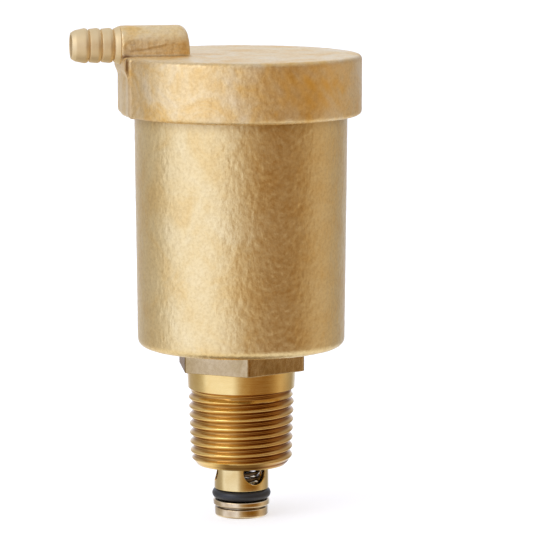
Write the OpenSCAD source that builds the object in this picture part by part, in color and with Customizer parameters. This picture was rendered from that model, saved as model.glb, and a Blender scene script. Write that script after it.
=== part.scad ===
// Automatic air vent with a side hose outlet.
// A float in the body opens and closes a small nozzle through a lever. A sprung sleeve below the
// thread shuts the inlet when it is pushed up. The origin is on the vent's axis at the underside
// of the hexagon, +Z up, with the hose outlet along -X. Millimetres.

/* [Inlet thread] */
// Major diameter of the R 1/2 taper thread at its gauge plane
thread_d = 20.955; // [20.9:0.005:21.0]
// Thread pitch, 14 turns to the inch
thread_pitch = 1.814; // [1.8:0.002:1.82]
// Length of the thread
thread_len = 15.7; // [14.6:0.1:16.2]
// Distance from the small end to the gauge plane
gauge_len = 8.2; // [7:0.1:9]
// Length of the plain neck under the hexagon
neck_len = 4; // [3.5:0.1:4.6]

/* [Body] */
// Hexagon size across its flats
hex_af = 24; // [23.5:0.1:26]
// Height of the hexagon
hex_h = 4.55; // [4:0.05:6]
// Turn of the hexagon about the axis, in degrees
hex_turn = 25.8; // [0:0.1:60]
// Outside diameter of the chamber at its foot
chamber_foot_d = 41.6; // [41:0.1:42]
// Outside diameter of the chamber under the cap
chamber_top_d = 42.6; // [42.4:0.1:43.4]
// Height of the chamber from the hexagon to the cap
chamber_h = 46.6; // [46:0.1:50]
// Inside diameter of the chamber
chamber_bore_d = 37.8; // [37.4:0.1:38]

/* [Cap] */
// Outside diameter of the cap
cap_d = 48.4; // [47.6:0.1:50]
// Height of the cap
cap_h = 12; // [12:0.1:13]
// Thickness of the cap's roof
roof_t = 3; // [2.8:0.1:3.2]
// Nominal diameter of the cap thread
cap_thread_d = 42; // [42:0.1:42.2]
// Pitch of the cap thread
cap_pitch = 1.5; // [1.4:0.1:1.6]

/* [Outlet] */
// Height of the outlet's axis above the cap's top face
outlet_rise = 2.06; // [1.9:0.02:2.4]
// Radius of the boss around the outlet
boss_r = 3.97; // [3.8:0.01:4.4]
// Diameter of the outlet bore
outlet_bore_d = 4.4; // [4:0.1:4.6]
// Diameter over the hose barbs
barb_d = 7; // [6.8:0.1:7.4]
// Spacing of the hose barbs
barb_pitch = 2.45; // [2.3:0.05:2.5]

/* [Float] */
// Outside diameter of the float
float_d = 34; // [32:0.5:35]
// Height of the float with its lid
float_h = 38; // [34:0.5:38.5]
// Lift of the float from open to closed
float_lift = 3.6; // [3:0.1:3.6]

/* [Shut-off sleeve] */
// Outside diameter of the sleeve
sleeve_d = 11; // [10.8:0.1:11.2]
// Diameter of the cross ports
port_d = 5; // [4:0.1:5]
// Number of cross ports
port_count = 3; // [2:1:4]
// Turn of the first port about the axis, in degrees
port_turn = -67.5; // [-90:0.5:90]
// Wire diameter of the sleeve's spring
wire_d = 0.8; // [0.6:0.05:0.9]
// Number of turns of the sleeve's spring
spring_turns = 18; // [12:0.5:19]

/* [Hidden] */
$fn = 96;
eps = 0.01;

// Colours
cast_brass = [0.80, 0.68, 0.46];
turned_brass = [0.83, 0.62, 0.28];
steel = [0.72, 0.73, 0.74];
rubber = [0.08, 0.08, 0.08];
plastic = [0.93, 0.93, 0.90];

// Heights of the body, from the bottom up
thread_end_z = -neck_len - thread_len;
thread_tip_r = 9;
thread_tip_slope = 0.85;
neck_foot_r = 10.75;
neck_top_r = 10.95;
gauge_z = thread_end_z + gauge_len;
chamber_top_z = hex_h + chamber_h;
rim_h = 8;
rim_z = chamber_top_z + rim_h;
gasket_t = 1;
floor_z = hex_h + 2.4;

// Cap
cap_top_z = chamber_top_z + cap_h;
roof_z = cap_top_z - roof_t;
cap_edge_r = 0.9;
block_w = 15.2;
block_x = -23.8;
pad_proud = 0.6;
pad_x = block_x - pad_proud;
pad_low_z = chamber_top_z + 8.1;
pad_slope_h = 1.4;
outlet_z = cap_top_z + outlet_rise;
boss_end_x = -10.7;
boss_corner = 1.8;
outlet_floor_x = boss_end_x - 1;

// Hose nipple: a spigot in the boss, a tapered shoulder and three barbs with grooves between them
spigot_r = 2.9;
spigot_len = 6.5;
shoulder_r = 3.85;
barb_foot_r = 3.3;
groove_r = 2.9;
first_groove_x = -25.78;
crest_x = -0.45;
crest_w = 0.5;
tip_r = 2.65;
tip_x = -34.1;
bore_r = outlet_bore_d / 2;

// Shut-off sleeve and its bore
sleeve_r = sleeve_d / 2;
run_gap = 0.05;
stub_bore_r = sleeve_r + run_gap;
mouth_r = 6.3;
mouth_h = 0.9;
shoulder_z = -5.35;
collar_r = 6.6;
collar_t = 1.3;
collar_bore_r = 7;
bridge_z = 2.95;
bridge_t = 2;
bridge_r = 8;
sleeve_bottom_z = -24.75;
sleeve_floor_t = 1.2;
sleeve_bore_r = 4.3;
port_z = thread_end_z - 1.3;
stud_r = 2;

// O-ring and the turned retainer below it
nose_z = -30.35;
end_ring_r = 5.4;
end_ring_h = 1.6;
slot_gap_h = 0.7;
slot_gap_r = 4.8;
lip_r = 5.7;
lip_h = 1.05;
o_ring_seat_r = 3.85;
o_ring_wire_r = 1.04;
o_ring_z = -25.83;

// Valve, lever and bracket
pivot_x = -16.2;
pivot_z = 53.65;
float_arm = 16;
seal_arm = 4.1;
valve_x = pivot_x + seal_arm;
lever_angle = float_lift / float_arm * 180 / PI;
lever_half_t = 0.9;
seal_r = 1.9;
seal_seat_h = 0.2;
seal_top_h = 1.18;
pin_r = 0.8;
pin_gap = 0.05;
ear_in_y = 4.2;
ear_t = 0.8;
ear_r = 1.5;
seat_tip_z = pivot_z + 1.2;
seat_head_z = seat_tip_z + 0.8;
bracket_z = seat_head_z + 1.2;
bracket_t = 0.8;
seat_gasket_t = 0.5;
seat_pad_z = bracket_z + bracket_t + seat_gasket_t;
seat_stud_r = 2.5;
seat_stud_top_z = roof_z + 1.6;

// Float, hung from the lever
float_r = float_d / 2;
float_wall = 0.9;
lid_t = 1.2;
float_pin_x = pivot_x + float_arm - 0.2;
float_pin_z = pivot_z - float_lift + 0.015;
lid_top_z = float_pin_z - 2.815;
float_z = lid_top_z - float_h;
clevis_t = 0.8;
clevis_in_y = 1.3;
hook_half_w = 1.1;

// Radius of the inlet thread's crests at a height
function crest_r(z) = thread_d / 2 + (z - gauge_z) / 32;

// Points of an arc from angle a to angle b, in the profile plane
function arc(cx, cz, r, a, b, n = 6) =
  [for (i = [0 : n]) let (t = a + (b - a) * i / n) [cx + r * cos(t), cz + r * sin(t)]];

// Flat ring about Z
module ring(outer, inner, h, z) {
  translate([0, 0, z]) difference() {
    cylinder(r = outer, h = h);
    translate([0, 0, -1]) cylinder(r = inner, h = h + 2);
  }
}

// Round bar along Y
module bar_y(r, y0, y1) {
  translate([0, y0, 0]) rotate([-90, 0, 0]) cylinder(r = r, h = y1 - y0);
}

// Round bar along X
module bar_x(r, x0, x1) {
  translate([x0, 0, 0]) rotate([0, 90, 0]) cylinder(r = r, h = x1 - x0);
}

// ---- vent body ----

// A point of the thread's outer profile, cut back by the chamfer at its small end
function thread_point(r, z) = [min(r, thread_tip_r + thread_tip_slope * (z - thread_end_z)), z];

// Outer profile of the inlet thread, from its small end up: 55 degree flanks on a 1 in 16 taper
function inlet_profile() =
  let (depth = 0.6403 * thread_pitch, flank = depth * tan(27.5),
       flat = (thread_pitch - 2 * flank) / 2, turns = floor((thread_len - 0.8) / thread_pitch),
       lead = (thread_len - 0.8 - turns * thread_pitch) / 2)
  concat(
    [[0, thread_end_z], [thread_tip_r, thread_end_z]],
    [for (i = [0 : turns - 1]) let (z = thread_end_z + lead + i * thread_pitch)
      each [
        thread_point(crest_r(z) - depth, z + flat / 2),
        thread_point(crest_r(z), z + flat / 2 + flank),
        thread_point(crest_r(z), z + flat * 1.5 + flank),
        thread_point(crest_r(z) - depth, z + flat * 1.5 + 2 * flank)
      ]],
    [[crest_r(-neck_len) - depth, -neck_len - 0.4], [neck_foot_r, -neck_len], [neck_top_r, 0], [0, 0]]);

// Outer profile of the chamber and its threaded rim
function chamber_profile() =
  let (foot_r = chamber_foot_d / 2, top_r = chamber_top_d / 2, corner = 1.6)
  concat(
    [[0, hex_h - 1], [8, hex_h - 1], [8, hex_h], [foot_r - corner, hex_h]],
    arc(foot_r - corner, hex_h + corner, corner, -75, 0),
    [[top_r, chamber_top_z]],
    rim_profile(),
    [[0, rim_z]]);

// Ridges of the cap thread on the rim
function rim_profile() =
  let (crest = cap_thread_d / 2, depth = 0.6134 * cap_pitch, root = crest - depth)
  concat(
    [[root, chamber_top_z]],
    [for (z = rim_ridges()) each [
      [root, z - ridge_half(crest, root)], [crest, z - ridge_half(crest, crest)],
      [crest, z + ridge_half(crest, crest)], [root, z + ridge_half(crest, root)]]],
    [[root, rim_z - 0.4], [root - 0.4, rim_z]]);

// Heights of the ridges, and a ridge's half width at a radius
function rim_ridges() = [for (i = [1 : 4]) chamber_top_z + 0.3 + i * cap_pitch];
function ridge_half(crest, r) = cap_pitch * 0.073 + (crest - r) * tan(30);

module vent_body() color(cast_brass) difference() {
  union() {
    rotate_extrude() polygon(inlet_profile());
    intersection() {
      rotate([0, 0, hex_turn]) cylinder(d = hex_af / cos(30), h = hex_h, $fn = 6);
      cylinder(d = hex_af / cos(30) - 0.6, h = hex_h);
    }
    rotate_extrude() polygon(chamber_profile());
  }
  // float chamber
  rotate_extrude() polygon(concat(
    [[0, floor_z]],
    arc(chamber_bore_d / 2 - 1.5, floor_z + 1.5, 1.5, -90, 0),
    [[chamber_bore_d / 2, rim_z + 1], [0, rim_z + 1]]));
  // counterbores for the spring bridge, its snap ring and the sleeve's collar
  translate([0, 0, bridge_z]) cylinder(r = bridge_r, h = floor_z - bridge_z + 1);
  translate([0, 0, bridge_z + bridge_t]) cylinder(r = bridge_r + 0.45, h = 1.04);
  translate([0, 0, shoulder_z]) cylinder(r = collar_bore_r, h = bridge_z - shoulder_z + 1);
  // sleeve bore with a chamfered mouth, where the O-ring seals
  translate([0, 0, thread_end_z - 1]) cylinder(r = stub_bore_r, h = thread_len + 10);
  translate([0, 0, thread_end_z]) cylinder(r1 = mouth_r, r2 = stub_bore_r, h = mouth_h);
}

// ---- cap ----

// Outer half profile of the cap with rounded edges
function cap_profile() =
  let (r = cap_d / 2, e = cap_edge_r)
  concat([[0, chamber_top_z]], arc(r - e, chamber_top_z + e, e, -90, 0),
    arc(r - e, cap_top_z - e, e, 0, 90), [[0, cap_top_z]]);

// Hollow of the cap: thread grooves over the rim's ridges, then a plain recess
function cap_hollow() =
  let (crest = cap_thread_d / 2, inner = crest - 0.75, outer = crest + 0.1, gap = 0.07)
  concat(
    [[0, chamber_top_z - 1], [chamber_top_d / 2 + 0.1, chamber_top_z - 1],
     [chamber_top_d / 2 + 0.1, chamber_top_z], [inner, chamber_top_z + 0.8]],
    [for (z = rim_ridges()) each [
      [inner, z - ridge_half(crest, inner) - gap], [outer, z - ridge_half(crest, outer) - gap],
      [outer, z + ridge_half(crest, outer) + gap], [inner, z + ridge_half(crest, inner) + gap]]],
    [[inner, rim_z - 0.3], [outer, rim_z - 0.1], [outer, roof_z], [0, roof_z]]);

// Boss with a round top and rounded inner corners, along the outlet
module outlet_boss() {
  back_x = boss_end_x - boss_corner;
  side_y = boss_r - boss_corner;
  translate([0, 0, outlet_z]) rotate([0, 90, 0]) rotate_extrude() polygon(concat(
    [[0, pad_x], [boss_r, pad_x]], arc(side_y, back_x, boss_corner, 0, 90), [[0, boss_end_x]]));
  // its straight foot, a hair narrower than the round top
  foot_z = cap_top_z - 0.5;
  foot_y = boss_r - 0.04;
  translate([0, 0, foot_z]) linear_extrude(outlet_z - foot_z) polygon(concat(
    [[pad_x, foot_y], [pad_x, -foot_y]],
    arc(back_x - 0.04, boss_corner - foot_y, boss_corner, -90, 0),
    arc(back_x - 0.04, foot_y - boss_corner, boss_corner, 0, 90)));
}

// Block on the cap's side, with a raised pad below the nipple
module side_block()
  rotate([90, 0, 0]) linear_extrude(block_w, center = true) polygon([
    [block_x + 4, chamber_top_z], [block_x + cap_edge_r, chamber_top_z],
    [block_x, chamber_top_z + cap_edge_r], [block_x, pad_low_z], [pad_x, pad_low_z + pad_slope_h],
    [pad_x, cap_top_z - 0.3], [pad_x + 0.3, cap_top_z], [block_x + 4, cap_top_z]]);

module cap() color(cast_brass) difference() {
  union() {
    difference() {
      union() {
        rotate_extrude() polygon(cap_profile());
        side_block();
      }
      rotate_extrude() polygon(cap_hollow());
    }
    outlet_boss();
    translate([valve_x, 0, seat_pad_z]) cylinder(r = 5, h = roof_z - seat_pad_z + 1);
  }
  // nipple spigot's bore, outlet passage, nozzle bore and the hole that joins them
  translate([0, 0, outlet_z]) bar_x(spigot_r, pad_x - 1, pad_x + spigot_len + 0.3);
  translate([0, 0, outlet_z]) bar_x(bore_r, pad_x - 1, outlet_floor_x);
  translate([valve_x, 0, seat_pad_z - 1]) cylinder(r = seat_stud_r, h = seat_stud_top_z - seat_pad_z + 1.2);
  translate([outlet_floor_x - 0.9, 0, roof_z]) cylinder(r = 0.9, h = outlet_z - roof_z);
}

module hose_nipple() {
  grooves = [for (i = [0 : 2]) first_groove_x - i * barb_pitch];
  profile = concat(
    [[bore_r, pad_x + spigot_len], [spigot_r, pad_x + spigot_len], [spigot_r, pad_x],
     [shoulder_r, pad_x], [barb_foot_r, first_groove_x + 0.2]],
    // each barb rises steeply from its groove to its crest and falls gently towards the tip
    [for (x = grooves) each [
      [groove_r, x], [barb_foot_r, x - 0.2], [barb_d / 2, x + crest_x],
      [barb_d / 2, x + crest_x - crest_w], [barb_foot_r, x - barb_pitch + 0.2]]],
    [[tip_r + 0.25, tip_x + 0.3], [tip_r, tip_x], [bore_r, tip_x]]);
  color(turned_brass) translate([0, 0, outlet_z]) rotate([0, 90, 0])
    rotate_extrude() polygon(profile);
}

module cap_gasket() color(rubber)
  ring(cap_thread_d / 2 - 0.05, chamber_bore_d / 2 + 0.05, gasket_t, rim_z);

// ---- valve, bracket and lever ----

module valve_seat() color(turned_brass) translate([valve_x, 0, 0]) difference() {
  union() {
    translate([0, 0, bracket_z]) cylinder(r = seat_stud_r, h = seat_stud_top_z - bracket_z);
    translate([0, 0, seat_head_z]) rotate([0, 0, 30])
      cylinder(d = 7 / cos(30), h = bracket_z - seat_head_z, $fn = 6);
    translate([0, 0, seat_tip_z]) cylinder(r1 = 1.3, r2 = 2.2, h = seat_head_z - seat_tip_z);
  }
  translate([0, 0, seat_tip_z - 1]) cylinder(r = 0.8, h = 10);
}

module seat_gasket() color("firebrick") translate([valve_x, 0, 0])
  ring(4.4, seat_stud_r + 0.05, seat_gasket_t, bracket_z + bracket_t);

module lever_bracket() color(steel) difference() {
  union() {
    translate([pivot_x - ear_r, -ear_in_y - ear_t, bracket_z])
      cube([9.7, 2 * (ear_in_y + ear_t), bracket_t]);
    for (y = [-ear_in_y - ear_t, ear_in_y]) {
      translate([pivot_x - ear_r, y, pivot_z]) cube([2 * ear_r, ear_t, bracket_z - pivot_z + bracket_t]);
      translate([pivot_x, 0, pivot_z]) bar_y(ear_r, y, y + ear_t);
    }
  }
  translate([valve_x, 0, bracket_z - 1]) cylinder(r = seat_stud_r + 0.05, h = 3);
  translate([pivot_x, 0, pivot_z]) bar_y(pin_r, -8, 8);
}

module lever_pivot_pin() color(steel) translate([pivot_x, 0, pivot_z]) {
  ear_out_y = ear_in_y + ear_t;
  bar_y(pin_r, -ear_out_y - eps, ear_out_y);
  bar_y(1.3, -ear_out_y - 0.5, -ear_out_y);
  bar_y(0.55, ear_out_y - eps, ear_out_y + 0.4);
  bar_y(pin_r, ear_out_y + 0.35, ear_out_y + 0.9);
}

module pivot_pin_clip() color(steel) translate([pivot_x, 0, pivot_z]) {
  ear_out_y = ear_in_y + ear_t;
  difference() {
    bar_y(1.6, ear_out_y, ear_out_y + 0.3);
    bar_y(0.57, ear_out_y - 1, ear_out_y + 1);
    translate([-0.5, ear_out_y - 1, -2]) cube([1, 2, 2]);
  }
}

// The lever's own frame: the pivot at the origin, the arm along +X, tilted down at rest
module at_lever() translate([pivot_x, 0, pivot_z]) rotate([0, lever_angle, 0]) children();

module valve_lever() color([0.16, 0.16, 0.17]) at_lever() difference() {
  slot_half = 0.35;
  wide = 3.2;
  union() {
    bar_y(ear_r, -ear_in_y + 0.1, ear_in_y - 0.1);
    translate([0, 0, -lever_half_t]) linear_extrude(2 * lever_half_t)
      polygon([[0, -wide], [6.6, -wide], [9.5, -hook_half_w], [float_arm, -hook_half_w],
        [float_arm, hook_half_w], [9.5, hook_half_w], [6.6, wide], [0, wide]]);
    for (dx = [-slot_half, slot_half])
      translate([float_arm + dx, 0, 0]) bar_y(1.7, -hook_half_w, hook_half_w);
    translate([float_arm - slot_half, -hook_half_w, -1.7]) cube([2 * slot_half, 2 * hook_half_w, 3.4]);
  }
  bar_y(pin_r + pin_gap, -9, 9);
  translate([seal_arm, 0, seal_seat_h]) cylinder(r = seal_r, h = 3);
  // slot for the float's pin
  for (dx = [-slot_half, slot_half])
    translate([float_arm + dx, 0, 0]) bar_y(pin_r + 0.1, -3, 3);
  translate([float_arm - slot_half, -3, -pin_r - 0.1]) cube([2 * slot_half, 6, 2 * pin_r + 0.2]);
}

module valve_seal() color(rubber) at_lever()
  translate([seal_arm, 0, seal_seat_h]) cylinder(r = seal_r, h = seal_top_h - seal_seat_h);

// ---- float ----

module float_shell() color(plastic) difference() {
  corner = 2;
  top_z = lid_top_z - lid_t;
  rotate_extrude() polygon(concat([[0, float_z]],
    arc(float_r - corner, float_z + corner, corner, -90, 0), [[float_r, top_z], [0, top_z]]));
  rotate_extrude() polygon(concat([[0, float_z + float_wall]],
    arc(float_r - corner, float_z + corner, corner - float_wall, -90, 0),
    [[float_r - float_wall, top_z + 1], [0, top_z + 1]]));
}

module float_lid() color(plastic) difference() {
  union() {
    translate([0, 0, lid_top_z - lid_t]) cylinder(r = float_r, h = lid_t);
    ring(float_r - float_wall - 0.05, float_r - float_wall - 0.9, 1.5 + lid_t, lid_top_z - lid_t - 1.5);
    translate([float_pin_x, 0, lid_top_z - lid_t - 2]) cylinder(r = 3, h = 2 + lid_t);
  }
  translate([float_pin_x, 0, lid_top_z - 2.4]) cylinder(r = 1.2, h = 4);
}

module float_clevis() color(steel) translate([float_pin_x, 0, 0]) difference() {
  half_x = 2;
  out_y = clevis_in_y + clevis_t;
  union() {
    translate([-half_x, -out_y, lid_top_z]) cube([2 * half_x, 2 * out_y, clevis_t]);
    for (y = [-out_y, clevis_in_y]) {
      translate([-half_x, y, lid_top_z]) cube([2 * half_x, clevis_t, float_pin_z - lid_top_z]);
      translate([0, 0, float_pin_z]) bar_y(half_x, y, y + clevis_t);
    }
    translate([0, 0, lid_top_z - 2.2]) cylinder(r = 1.2, h = 2.3);
  }
  translate([0, 0, float_pin_z]) bar_y(pin_r, -4, 4);
}

module float_pin() color(steel) translate([float_pin_x, 0, float_pin_z]) {
  out_y = clevis_in_y + clevis_t;
  bar_y(pin_r, -out_y - 0.5, out_y + 0.5);
}

// ---- shut-off sleeve ----

module shutoff_plunger() color([0.86, 0.78, 0.62]) difference() {
  union() {
    translate([0, 0, sleeve_bottom_z]) cylinder(r = sleeve_r, h = shoulder_z + collar_t - sleeve_bottom_z);
    translate([0, 0, shoulder_z]) cylinder(r = collar_r, h = collar_t);
  }
  translate([0, 0, sleeve_bottom_z + sleeve_floor_t]) cylinder(r = sleeve_bore_r, h = 30);
  translate([0, 0, sleeve_bottom_z - 1]) cylinder(r = stud_r, h = 5);
  for (i = [0 : port_count - 1])
    rotate([0, 0, port_turn + 360 / port_count * i]) translate([0, 0, port_z])
      bar_x(port_d / 2, 1, 8);
}

module plunger_retainer() color([0.84, 0.76, 0.60]) difference() {
  gap_z = nose_z + end_ring_h;
  lip_z = gap_z + slot_gap_h;
  seat_z = lip_z + lip_h;
  chamfer = 0.4;
  rotate_extrude() polygon([[0, nose_z], [end_ring_r - chamfer, nose_z],
    [end_ring_r, nose_z + chamfer], [end_ring_r, gap_z], [slot_gap_r, gap_z],
    [slot_gap_r, lip_z], [lip_r, lip_z], [lip_r, seat_z],
    [o_ring_seat_r, seat_z], [o_ring_seat_r, sleeve_bottom_z], [stud_r, sleeve_bottom_z],
    [stud_r, sleeve_bottom_z + sleeve_floor_t + 0.4], [0, sleeve_bottom_z + sleeve_floor_t + 0.4]]);
  // screwdriver slot
  translate([-3, -0.5, nose_z - 1]) cube([6, 1, 1.9]);
}

module shutoff_o_ring() color(rubber) translate([0, 0, o_ring_z]) rotate_extrude()
  translate([o_ring_seat_r + o_ring_wire_r + 0.005, 0]) circle(r = o_ring_wire_r);

// Compression spring with a closed turn at each end
module shutoff_spring() {
  coil_r = 3.4;
  sides = 6;
  steps = 18;
  low = sleeve_bottom_z + sleeve_floor_t + wire_d / 2;
  high = bridge_z - wire_d / 2;
  count = ceil(spring_turns * steps);
  open_rise = high - low - 2 * wire_d * 1.02;
  // height of the wire's centre at a turn: the first and last turns lie closed
  function rise(t) = low
    + wire_d * 1.02 * min(t, 1)
    + open_rise * min(1, max(0, (t - 1) / (spring_turns - 2)))
    + wire_d * 1.02 * max(0, t - spring_turns + 1);
  points = [for (i = [0 : count], k = [0 : sides - 1])
    let (t = min(i / steps, spring_turns), a = 360 * t, b = 360 * k / sides + 30,
         r = coil_r + wire_d / 2 * cos(b))
    [r * cos(a), r * sin(a), rise(t) + wire_d / 2 * sin(b)]];
  walls = [for (i = [0 : count - 1], k = [0 : sides - 1])
    let (a = sides * i + k, b = sides * i + (k + 1) % sides)
    each [[a, a + sides, b + sides], [a, b + sides, b]]];
  ends = [[for (k = [0 : sides - 1]) k], [for (k = [sides - 1 : -1 : 0]) sides * count + k]];
  color(steel) polyhedron(points, concat(walls, ends));
}

module spring_bridge() color(turned_brass) difference() {
  union() {
    translate([0, 0, bridge_z]) cylinder(r = bridge_r - 0.02, h = bridge_t);
    translate([0, 0, bridge_z - 1.2]) cylinder(r = 2.8, h = 1.3);
  }
  translate([0, 0, bridge_z - 2]) cylinder(r = 1.5, h = 6);
  for (i = [0 : 5])
    rotate([0, 0, 60 * i]) translate([5.4, 0, bridge_z - 1]) cylinder(r = 1.1, h = 4);
}

module bridge_snap_ring() color(steel) difference() {
  translate([0, 0, bridge_z + bridge_t + 0.52]) rotate_extrude()
    translate([bridge_r - 0.1, 0]) circle(r = 0.5);
  translate([0, -2.5, bridge_z]) cube([12, 5, 6]);
}

vent_body();
cap();
hose_nipple();
cap_gasket();
valve_seat();
seat_gasket();
lever_bracket();
lever_pivot_pin();
pivot_pin_clip();
valve_lever();
valve_seal();
float_shell();
float_lid();
float_clevis();
float_pin();
shutoff_plunger();
shutoff_o_ring();
plunger_retainer();
shutoff_spring();
spring_bridge();
bridge_snap_ring();
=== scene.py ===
"""The looks of an automatic air vent with a side hose outlet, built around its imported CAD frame.

The housing, cap, hose nipple and shut-off sleeve get detailed meshes in place of their CAD nodes.
The mechanism inside keeps its CAD meshes, with small edge roundings and better materials.
Lengths below are in millimetres; points() turns them into the frame's metres.
"""

import math

import bmesh
import bpy
import numpy as np
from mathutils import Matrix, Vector, noise


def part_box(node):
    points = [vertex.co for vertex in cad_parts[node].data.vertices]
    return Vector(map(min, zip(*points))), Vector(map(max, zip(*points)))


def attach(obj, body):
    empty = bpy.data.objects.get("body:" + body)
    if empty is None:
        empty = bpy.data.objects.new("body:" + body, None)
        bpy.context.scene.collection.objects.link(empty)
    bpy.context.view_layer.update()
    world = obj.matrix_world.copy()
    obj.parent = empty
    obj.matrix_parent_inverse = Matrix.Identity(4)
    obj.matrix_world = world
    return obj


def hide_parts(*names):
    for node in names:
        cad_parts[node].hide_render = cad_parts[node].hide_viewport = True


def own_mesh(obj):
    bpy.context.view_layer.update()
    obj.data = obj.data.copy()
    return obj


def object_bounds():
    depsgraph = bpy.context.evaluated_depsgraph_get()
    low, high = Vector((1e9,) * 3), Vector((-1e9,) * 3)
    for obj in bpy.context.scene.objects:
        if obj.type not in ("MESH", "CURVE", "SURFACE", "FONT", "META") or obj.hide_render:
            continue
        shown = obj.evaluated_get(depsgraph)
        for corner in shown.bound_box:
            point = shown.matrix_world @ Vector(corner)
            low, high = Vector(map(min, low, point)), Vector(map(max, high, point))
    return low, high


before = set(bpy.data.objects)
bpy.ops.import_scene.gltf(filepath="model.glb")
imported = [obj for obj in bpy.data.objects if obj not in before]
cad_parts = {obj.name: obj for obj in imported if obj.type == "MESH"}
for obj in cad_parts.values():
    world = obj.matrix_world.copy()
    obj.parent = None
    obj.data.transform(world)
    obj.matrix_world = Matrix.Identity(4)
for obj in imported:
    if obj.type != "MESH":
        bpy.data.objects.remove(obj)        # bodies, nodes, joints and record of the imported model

MM = 0.001
cad_low, cad_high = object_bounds()


def box_mm(node):
    """A CAD node's lowest and highest corners, in millimetres."""
    low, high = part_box(node)
    return low / MM, high / MM


# ---------------------------------------------------------------- sizes, from the frame

BODY_LOW, BODY_HIGH = box_mm("vent_body")
CAP_LOW, CAP_HIGH = box_mm("cap")
NIPPLE_LOW, NIPPLE_HIGH = box_mm("hose_nipple")
SLEEVE_LOW, SLEEVE_HIGH = box_mm("shutoff_plunger")
NOSE_LOW, _ = box_mm("plunger_retainer")
RING_LOW, RING_HIGH = box_mm("shutoff_o_ring")
SPRING_LOW, SPRING_HIGH = box_mm("shutoff_spring")

THREAD_END = BODY_LOW.z
RIM_TOP = BODY_HIGH.z
CHAMBER_TOP_R = BODY_HIGH.x
CAP_FOOT = CAP_LOW.z
OUTLET_Z = (NIPPLE_LOW.z + NIPPLE_HIGH.z) / 2
TIP_X = NIPPLE_LOW.x

# inlet thread, R 1/2
THREAD_D = 20.955       # over the crests at the gauge plane
PITCH = 1.814
THREAD_DEPTH = 0.66     # the roots are rounded off
THREAD_LEN = 15.7
GAUGE = 8.2             # height of the gauge plane above the small end
TAPER = 32              # length in which the radius grows by 1
THREAD_START = -0.514   # turns by which the thread's start is ahead
THREAD_ROWS = 22        # rows of points a turn
CREST_HALF = 0.06       # half the flat of a crest
ROOT_HALF = 0.1
TIP_R = 9.0             # chamfered small end
TIP_SLOPE = 0.85
NECK_R = 10.95
NECK_FOOT_R = 10.75

# cap thread, M42 x 1.5
CAP_THREAD_R = 21.0
CAP_PITCH = 1.5
CAP_THREAD_DEPTH = 0.92

# hexagon and chamber
HEX_R = 12.0            # to the middle of a flat
HEX_TURN = 25.8
HEX_H = 4.55
HEX_EDGE = 0.12         # rounding of its lower edge
HEX_CUT = 0.14          # how much its corners are cut back
FOOT_R = 20.8
FOOT_CORNER = 1.6
CHAMBER_BORE_R = 18.9
FLOOR_Z = 6.95
SKIN = 0.05             # how high the cast skin's bumps are

# stepped bore below the chamber
WELL_R = 8.0            # counterbore of the spring's bridge
WELL_Z = 2.95
SNAP_R = 8.45           # groove of the bridge's snap ring
SNAP_LOW, SNAP_HIGH = 4.95, 5.99
STUB_BORE_R = 7.0
STUB_STEP_Z = -5.35
MOUTH_R = 5.55          # guides the sleeve
MOUTH_EDGE_R = 6.3
MOUTH_EDGE_H = 0.9

# cap
CAP_R = CAP_HIGH.x
CAP_TOP = 63.15
CAP_EDGE = 0.9
CAP_BORE_R = 21.1
CAP_MOUTH_R = 21.4
ROOF_Z = 60.15
BLOCK_HALF_W = 7.6
BLOCK_X = -23.8
BLOCK_ROOT_X = -19.0    # inside the cup's wall
CHEEK_INSET = 0.35      # how far the cheeks' edges lie inside the block's
PAD_X = CAP_LOW.x
PAD_FOOT = 59.25
PAD_SLOPE = 1.4         # height of the sloping edge under the pad
BOSS_R = 3.97
BOSS_END = -10.7
BOSS_CORNER = 1.8
SEAT_X = -12.1          # thick spot in the roof, for the nozzle
SEAT_PAD_R = 5.0
SEAT_PAD_Z = 58.15
SPIGOT_R = 2.9
SPIGOT_END = -17.9
BORE_R = 2.2
VOXEL = 0.23            # of the remesh that fuses the cap's shells

# shut-off sleeve
SLEEVE_R = 5.5
SLEEVE_BORE_R = 4.3
COLLAR_R = 6.6
PORTS = 3
PORT_R = 2.5
PORT_TURN = -67.5
PORT_Z = THREAD_END - 1.3
COLLAR_H = 1.3
SOCKET_R = 2.0          # bore in the sleeve's floor that takes the retainer's stud


# ---------------------------------------------------------------- mesh helpers

def points(rows):
    """Millimetre points as an array in metres."""
    return np.asarray(rows, float) * MM


def bell(value, width):
    """1 where the value is zero, fading to nothing over about twice the width."""
    return np.exp(-(value / width) ** 2)


def build(name, verts, faces, materials, slots=None, sharp=40, shade_and_stains=None):
    """A smooth-shaded mesh object from points in metres, with edges over `sharp` degrees kept crisp."""
    mesh = bpy.data.meshes.new(name)
    mesh.from_pydata([tuple(v) for v in verts], [], faces)
    if shade_and_stains is not None:
        mesh.attributes.new("shade_and_stain", "FLOAT", "POINT").data.foreach_set("value", shade_and_stains)
    for material in materials:
        mesh.materials.append(material)
    if slots is not None:
        mesh.polygons.foreach_set("material_index", np.asarray(slots, np.int32))
    work = bmesh.new()
    work.from_mesh(mesh)
    bmesh.ops.remove_doubles(work, verts=work.verts, dist=1e-7)
    bmesh.ops.dissolve_degenerate(work, edges=work.edges, dist=1e-8)
    bmesh.ops.recalc_face_normals(work, faces=work.faces)
    work.to_mesh(mesh)
    work.free()
    mesh.shade_smooth()
    mesh.set_sharp_from_angle(angle=math.radians(sharp))
    obj = bpy.data.objects.new(name, mesh)
    bpy.context.scene.collection.objects.link(obj)
    return obj


def grid_faces(rows, cols, wrap_rows):
    """Quads of a grid that closes round its columns, and round its rows too if asked."""
    faces = []
    for i in range(rows if wrap_rows else rows - 1):
        a, b = i * cols, (i + 1) % rows * cols
        faces += [(a + j, a + (j + 1) % cols, b + (j + 1) % cols, b + j) for j in range(cols)]
    return faces


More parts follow.
